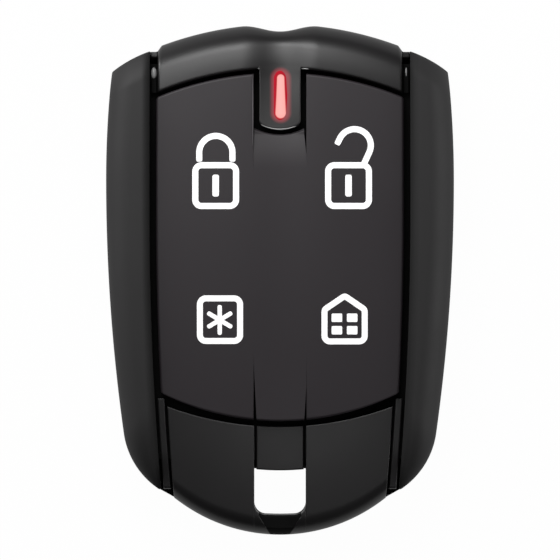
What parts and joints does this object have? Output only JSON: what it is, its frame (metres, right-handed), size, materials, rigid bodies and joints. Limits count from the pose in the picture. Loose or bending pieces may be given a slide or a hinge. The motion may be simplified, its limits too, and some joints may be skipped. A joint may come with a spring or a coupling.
{
  "type": "car alarm remote",
  "caption": "Hand-held car alarm remote: rounded black case with side rails, four pressing rubber keys, a red signal window and a key-ring slot.",
  "frame": {"origin": "middle of the bounding box at its base: the flat back, under the middle of the outline", "axes": "+Y along the remote towards the arched end with the signal window, +Z out of the front through the keys, +X to the right as the keys are seen"},
  "size_m": [0.041, 0.06, 0.0131],
  "materials": {
    "case_plastic": "fine satin moulded black",
    "pad_rubber": "satin black rubber",
    "red_lens": "translucent red, lit",
    "screw_steel": "zinc plated",
    "board": "green solder mask",
    "copper": "tinned copper",
    "chip_black": "moulded epoxy",
    "tin": "tinned",
    "can_steel": "nickel plated",
    "ceramic_tan": "ceramic",
    "clear_resin": "clear resin",
    "spring_metal": "spring bronze",
    "plunger_plastic": "moulded"
  },
  "bodies": {
    "case": {"front_cover": "case_plastic", "side_rail_left": "case_plastic", "side_rail_right": "case_plastic", "rear_cover": "case_plastic", "case_screw": "screw_steel", "signal_window": "red_lens", "keypad_mat": "pad_rubber", "circuit_board": "board", "antenna_trace": "copper", "encoder_chip": "chip_black", "encoder_pins": "tin", "resonator": "can_steel", "chip_resistors": "chip_black", "chip_capacitors": "ceramic_tan", "chip_end_caps": "tin", "lamp_body": "ceramic_tan", "lamp_lens": "clear_resin", "coin_cell_can": "can_steel", "coin_cell_cap": "can_steel", "cell_clip": "spring_metal", "cell_leaf": "spring_metal", "spring_lock": "spring_metal", "spring_unlock": "spring_metal", "spring_star": "spring_metal", "spring_home": "spring_metal", "switch_base_lock": "chip_black", "switch_base_unlock": "chip_black", "switch_base_star": "chip_black", "switch_base_home": "chip_black", "switch_plate_lock": "can_steel", "switch_plate_unlock": "can_steel", "switch_plate_star": "can_steel", "switch_plate_home": "can_steel"},
    "key_lock": {"key_lock": "pad_rubber", "plunger_lock": "plunger_plastic"},
    "key_unlock": {"key_unlock": "pad_rubber", "plunger_unlock": "plunger_plastic"},
    "key_star": {"key_star": "pad_rubber", "plunger_star": "plunger_plastic"},
    "key_home": {"key_home": "pad_rubber", "plunger_home": "plunger_plastic"}
  },
  "joints": [
    {"name": "lock_press", "type": "slide", "parent": "case", "child": "key_lock", "axis": [0, 0, -1], "range_m": [0, 0.0003], "stiffness_N_per_m": 5500, "deforming": ["spring_lock"]},
    {"name": "unlock_press", "type": "slide", "parent": "case", "child": "key_unlock", "axis": [0, 0, -1], "range_m": [0, 0.0003], "stiffness_N_per_m": 5500, "deforming": ["spring_unlock"]},
    {"name": "star_press", "type": "slide", "parent": "case", "child": "key_star", "axis": [0, 0, -1], "range_m": [0, 0.0003], "stiffness_N_per_m": 5500, "deforming": ["spring_star"]},
    {"name": "home_press", "type": "slide", "parent": "case", "child": "key_home", "axis": [0, 0, -1], "range_m": [0, 0.0003], "stiffness_N_per_m": 5500, "deforming": ["spring_home"]}
  ]
}
